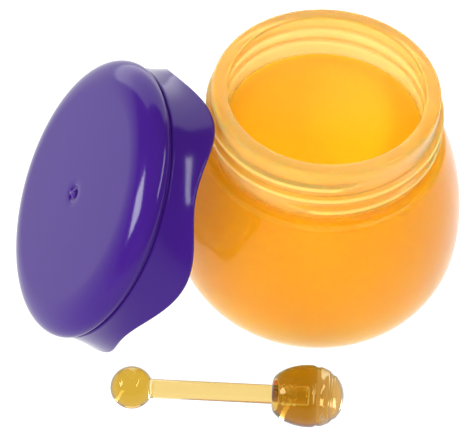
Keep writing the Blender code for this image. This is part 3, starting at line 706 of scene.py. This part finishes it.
def amberMaterial(name, thinCode, thickCode):
    material, tree = newMaterial(name)
    place = addNode(tree, "ShaderNodeTexCoord").outputs["Object"]
    flow = addNode(tree, "ShaderNodeTexNoise", None, {
        "Vector": place, "Scale": 1 / polishRipples, "Detail": 2.0})
    thick = addNode(tree, "ShaderNodeAttribute", {"attribute_name": "thickness"}).outputs["Fac"]
    joined = addNode(tree, "ShaderNodeAttribute", {"attribute_name": "joined"}).outputs["Fac"]
    facing = addNode(tree, "ShaderNodeLayerWeight", None, {"Blend": 0.5}).outputs["Facing"]
    grazing = addNode(tree, "ShaderNodeMapRange", {"interpolation_type": "SMOOTHSTEP"}, {
        "Value": facing, "From Min": 0.38, "From Max": 0.84})
    tint = addNode(tree, "ShaderNodeMix", {"data_type": "RGBA"}, {
        0: thick, 6: hexColour(thinCode), 7: hexColour(thickCode)})
    outlineWithPaintedShade = addNode(tree, "ShaderNodeMix", {"data_type": "RGBA"}, {  # darker outline: partly the longer path through the plastic at grazing angles, partly painted shade standing in for the dark room seen through the edge
        0: grazing, 6: tint.outputs[2], 7: hexColour("#4C3818")})
    colour = addNode(tree, "ShaderNodeMix", {"data_type": "RGBA"}, {  # cemented faces add no tint
        0: joined, 6: outlineWithPaintedShade.outputs[2], 7: hexColour("#FFFFFF")})
    ripple = addNode(tree, "ShaderNodeBump", None, {"Height": flow, "Strength": 0.08, "Distance": 0.4 * mm})
    gloss = addNode(tree, "ShaderNodeMapRange", None, {"Value": flow, "To Min": 0.0, "To Max": 0.04})
    shader = addNode(tree, "ShaderNodeBsdfPrincipled", None, {
        "Base Color": colour.outputs[2], "Roughness": gloss, "Normal": ripple, "IOR": 1.49,
        "Transmission Weight": 1.0, "Specular Tint": hexColour("#D6BE8E")})
    addNode(tree, "ShaderNodeOutputMaterial", None, {"Surface": shader})
    return material


def headStart():  # from the ball's middle; the stem's length is measured from where it meets the ball
    size = handleSizes
    return math.sqrt(size["ballRadius"] ** 2 - size["stemRadius"] ** 2) + size["stemLength"]


def dipperPlace(shift):
    return placeFrom(dipperAxis, ballPole + dipperAxis * (handleSizes["ballRadius"] + shift))


def finishDipper(piece, material, node, shift):
    piece.data.materials.append(material)
    shadeSmooth(piece, angle=50)
    piece.visible_glossy = False  # the photograph's pot doesn't mirror the dipper
    finishPiece(piece, "dipper", node, dipperPlace(shift))


def headRadiusAt(distance):
    size = headSizes
    if distance < size["widest"]:
        share = (size["widest"] - distance) / size["widest"]
        swell = size["radius"] - size["mouthRadius"]
        radius = size["mouthRadius"] + swell * powerRound(share, size["mouthPower"])
    else:
        share = (distance - size["widest"]) / (size["length"] - size["widest"])
        radius = size["radius"] * powerRound(share, size["nosePower"])
    for k in range(size["ringCount"]):
        away = abs(distance - size["widest"] - size["firstRing"] - k * size["ringSpacing"])
        radius -= size["ringDepth"] * (1 + math.cos(math.pi * min(1.0, away / size["ringHalf"]))) / 2
    return radius


def makeHead():
    size, handle = headSizes, handleSizes
    edge, deep, length, widest = size["edge"], size["socketMouth"], size["length"], size["widest"]
    socket = handle["tenonRadius"] + size["tenonGap"]  # the cement leaves no air round the tenon
    mouth = handle["stemRadius"] + size["socketGap"]
    end = deep + handle["tenonLength"] + size["tenonGap"]
    profile = [(0.0, end), (socket - edge, end), (socket, end - edge)]
    profile += [(socket, distance) for distance in np.linspace(end - edge, deep, size["socketRows"])[1:]]
    socketEnd = len(profile)
    profile += [(mouth - edge, deep), (mouth, deep - edge)]
    profile += softCorner((mouth, edge), (mouth, 0.0), (mouth + edge, 0.0), steps=4)
    profile += [(size["mouthRadius"] - edge / 2, 0.0)]
    for k in range(size["rows"]):
        distance = length * (1 - math.cos(math.pi * (k + 0.5) / size["rows"])) / 2
        profile.append((headRadiusAt(distance), distance))
    profile.append((0.0, length))
    noseShares = [max(0.0, min(1.0, (distance - widest) / (length - widest))) for r, distance in profile]
    joined = [1.0 if r <= socket + size["joinMargin"] else 0.0 for r, distance in profile[:socketEnd]]
    marks = {
        "thickness": [1 - size["noseFade"] * share ** size["noseFadePower"] for share in noseShares],
        "joined": joined + [0.0] * (len(profile) - socketEnd)}
    head = turnProfile("dipperHead", profile, handle["segments"], marks)
    material = amberMaterial("deepAmberAcrylic", size["thinColour"], size["thickColour"])
    finishDipper(head, material, "dipper_head", headStart())


def makeHandle():
    size, head = handleSizes, headSizes
    ball, stem, tenon, chamfer = size["ballRadius"], size["stemRadius"], size["tenonRadius"], size["chamfer"]
    meet = math.degrees(math.asin(stem / ball))
    profile = [(0.0, -ball)]
    profile += arcPoints(0.0, 0.0, ball, -90, 90 - meet - size["filletDegrees"], size["ballRows"])[1:]
    ballEnd = profile[-1]
    stemStart = ballEnd[1] + size["stemFillet"]
    profile += softCorner(ballEnd, (stem, ballEnd[1] + size["filletRise"]), (stem, stemStart), steps=6)[1:]
    stemEnd = headStart() + head["socketMouth"] - head["shoulderGap"]
    profile += [(stem, d) for d in np.linspace(stemStart, stemEnd - size["edge"], size["stemRows"])[1:]]
    profile += [(stem - size["edge"], stemEnd), (tenon, stemEnd)]
    tip = stemEnd + size["tenonLength"] + head["shoulderGap"]
    for distance in np.linspace(stemEnd, tip - chamfer, size["tenonRows"])[1:]:
        rib = 0.0
        for k in range(size["ribCount"]):
            away = abs(distance - stemEnd - size["firstRib"] - k * size["ribSpacing"])
            rib = max(rib, size["ribHeight"] * max(0.0, 1 - (away / size["ribHalf"]) ** 2))
        profile.append((tenon + rib, distance))
    profile += softCorner((tenon, tip - chamfer), (tenon, tip), (tenon - chamfer, tip), steps=4)[1:]
    profile.append((0.0, tip))
    cemented = headStart() + head["socketMouth"] + 2 * head["joinMargin"]
    marks = {  # the ball is thick, and its colour fades into the stem along the fillet
        "thickness": [1.0 if d < ballEnd[1] else max(0.0, 1 - (d - ballEnd[1]) / size["stemFillet"])
                      for r, d in profile],
        "joined": [1.0 if d > cemented else 0.0 for r, d in profile]}
    handle = turnProfile("dipperHandle", profile, size["segments"], marks)
    material = amberMaterial("lightAmberAcrylic", size["thinColour"], size["thickColour"])
    finishDipper(handle, material, "dipper_handle", 0.0)


threads = ridgeTree()
drips = dripTree()
makePot(potMaterial())
makeGel(gelMaterial())
print("pot and gel done")
makeLidShell(lidMaterial())
makeInnerCap(innerCapMaterial())
makeLiner(linerMaterial())
print("lid done")
makeHead()
makeHandle()
print("dipper done")


# Stage, light and camera

stageValues = {"floorHalf": 3.0, "floorGlow": 1.12, "horizonLevel": 1.0, "roomLevel": 0.22}

lampValues = {  # metres and watts; a lamp out of the gloss lights the pieces without being mirrored in them
    "backdropScreen": {"at": (-0.05, 0.42, 0.258), "aim": (-0.05, 0.0, 0.258), "size": (0.9, 0.516),
                       "power": 2.9, "inGloss": True},
    "leftSoftbox": {"at": (-0.47, -0.08, 0.285), "aim": (-0.04, -0.03, 0.05), "size": (0.2, 0.15),
                    "power": 1.7, "inGloss": True},
    "rightSoftbox": {"at": (0.29, -0.10, 0.50), "aim": (-0.02, 0.0, 0.04), "size": (0.42, 0.07),
                     "power": 1.25, "inGloss": True},
    "frontFill": {"at": (-0.22, -0.7, 0.22), "aim": (0.0, 0.0, 0.03), "size": (0.8, 0.6),
                  "power": 6.0, "inGloss": False},
    "topFill": {"at": (0.0, 0.0, 0.9), "aim": (0.0, 0.0, 0.0), "size": (0.8, 0.8),
                "power": 3.0, "inGloss": False},
}


def makeFloor():  # opal acrylic, lit from below to white
    mesh = bpy.data.meshes.new("paleFloor")
    half = stageValues["floorHalf"]
    corners = [(-half, -half, 0), (half, -half, 0), (half, half, 0), (-half, half, 0)]
    mesh.from_pydata(corners, [], [(0, 1, 2, 3)])
    floor = bpy.data.objects.new("paleFloor", mesh)
    bpy.context.scene.collection.objects.link(floor)
    material, tree = newMaterial("opalLightTable")
    shader = addNode(tree, "ShaderNodeBsdfPrincipled", None, {
        "Base Color": hexColour("#585858"), "Roughness": 0.9, "Specular IOR Level": 0.1,
        "Emission Color": hexColour("#FFFFFF"), "Emission Strength": stageValues["floorGlow"]})
    addNode(tree, "ShaderNodeOutputMaterial", None, {"Surface": shader})
    mesh.materials.append(material)


def makeRoom():  # a dim studio above a white horizon
    world = bpy.data.worlds.new("dimStudio")
    world.use_nodes = True
    tree = world.node_tree
    tree.nodes.clear()
    direction = addNode(tree, "ShaderNodeTexCoord").outputs["Generated"]
    rise = addNode(tree, "ShaderNodeSeparateXYZ", None, {0: direction}).outputs["Z"]
    level = addNode(tree, "ShaderNodeMapRange", {"interpolation_type": "SMOOTHSTEP"}, {
        "Value": rise, "From Min": 0.05, "From Max": 0.25,
        "To Min": stageValues["horizonLevel"], "To Max": stageValues["roomLevel"]})
    sky = addNode(tree, "ShaderNodeBackground", None, {"Color": hexColour("#FFFFFF"), "Strength": level})
    addNode(tree, "ShaderNodeOutputWorld", None, {"Surface": sky})
    bpy.context.scene.world = world


def makeLamps():
    for name, value in lampValues.items():
        light = bpy.data.lights.new(name, "AREA")
        light.shape = "RECTANGLE"
        light.size, light.size_y = value["size"]
        light.energy = value["power"]
        lamp = bpy.data.objects.new(name, light)
        lamp.location = value["at"]
        lamp.rotation_euler = (Vector(value["aim"]) - Vector(value["at"])).to_track_quat("-Z", "Y").to_euler()
        lamp.visible_camera = False
        lamp.visible_glossy = value["inGloss"]
        bpy.context.scene.collection.objects.link(lamp)


cameraValues = {  # fitted to the photograph's outlines: metres and degrees, and the sensor in millimetres
    "focalPixels": 2073.4, "framePixels": 466, "sensor": 36.0, "distance": 0.49768, "depression": 49.989,
    "aim": (-0.019756, 0.0, 0.01337), "roll": -2.268, "clipStart": 0.01,
}


def makeCamera():
    value = cameraValues
    camera = bpy.data.cameras.new("photoCamera")
    camera.sensor_width = value["sensor"]
    camera.lens = value["focalPixels"] / value["framePixels"] * value["sensor"]
    camera.clip_start = value["clipStart"]
    dip, roll = math.radians(value["depression"]), math.radians(value["roll"])
    forward = Vector((0, math.cos(dip), -math.sin(dip)))
    right, down = Vector((1, 0, 0)), forward.cross(Vector((1, 0, 0)))
    turnedRight = math.cos(roll) * right + math.sin(roll) * down
    turnedDown = -math.sin(roll) * right + math.cos(roll) * down
    place = Matrix((turnedRight, -turnedDown, -forward)).transposed().to_4x4()
    place.translation = Vector(value["aim"]) - forward * value["distance"]
    holder = bpy.data.objects.new("photoCamera", camera)
    bpy.context.scene.collection.objects.link(holder)
    holder.matrix_world = place
    bpy.context.scene.camera = holder


makeFloor()
makeRoom()
makeLamps()
makeCamera()
bpy.context.scene.view_settings.view_transform = "Standard"
print("stage done")
